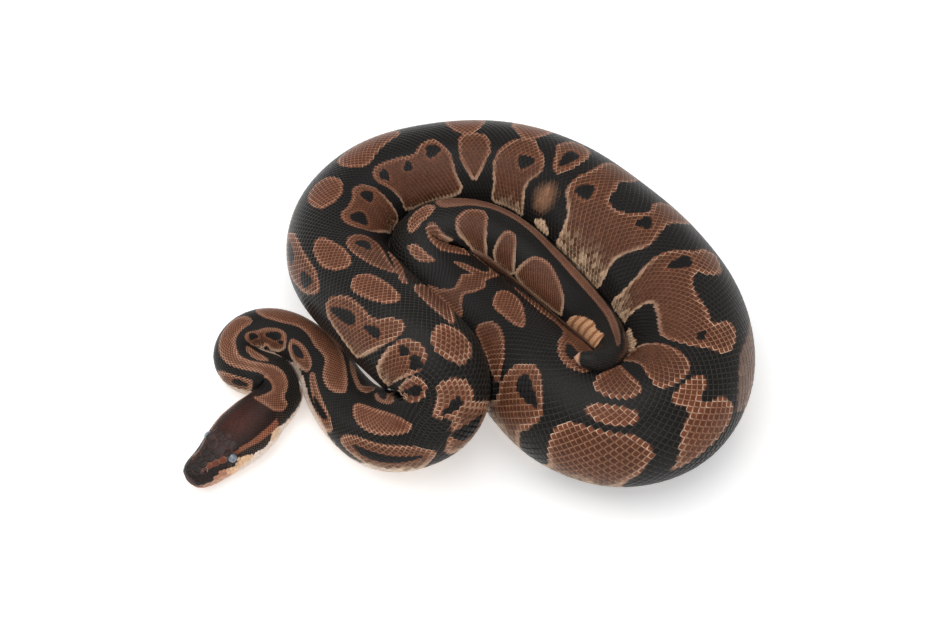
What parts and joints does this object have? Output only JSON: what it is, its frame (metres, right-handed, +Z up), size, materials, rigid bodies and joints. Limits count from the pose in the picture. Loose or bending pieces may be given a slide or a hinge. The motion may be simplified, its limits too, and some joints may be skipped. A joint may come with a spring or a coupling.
{
  "type": "coiled ball python",
  "caption": "Still, life-size ball python lying coiled on a flat surface, its small head stretched out in front and its tail tucked into the coil.",
  "frame": {"origin": "centre of the coil's bounding box, on the surface that the snake lies on", "axes": "+Z up; +X along the coil's longest extent, away from the head; -Y towards the side that the snout and the front of the coil face"},
  "size_m": [0.2868, 0.2225, 0.0708],
  "materials": {
    "head_skin": "smooth dark head plates and scales with a brown stripe through the eye and cream lips, slightly glossy",
    "lip_skin": "smooth cream lower lips and chin with pinkish plate edges",
    "body_skin": "smooth overlapping scales, near black with reddish-brown blotches, pale towards the belly, slightly glossy",
    "eye": "clear glossy spectacle over a dark blue-grey iris and an upright pupil"
  },
  "bodies": {
    "root": {"eye_left": "eye", "eye_right": "eye", "head": "head_skin", "lower_jaw": "lip_skin", "neck_1": "body_skin", "neck_2": "body_skin", "neck_3": "body_skin", "neck_4": "body_skin", "tail_1": "body_skin", "tail_2": "body_skin", "tail_tip": "body_skin", "trunk_1": "body_skin", "trunk_10": "body_skin", "trunk_11": "body_skin", "trunk_12": "body_skin", "trunk_13": "body_skin", "trunk_14": "body_skin", "trunk_15": "body_skin", "trunk_2": "body_skin", "trunk_3": "body_skin", "trunk_4": "body_skin", "trunk_5": "body_skin", "trunk_6": "body_skin", "trunk_7": "body_skin", "trunk_8": "body_skin", "trunk_9": "body_skin"}
  },
  "joints": []
}
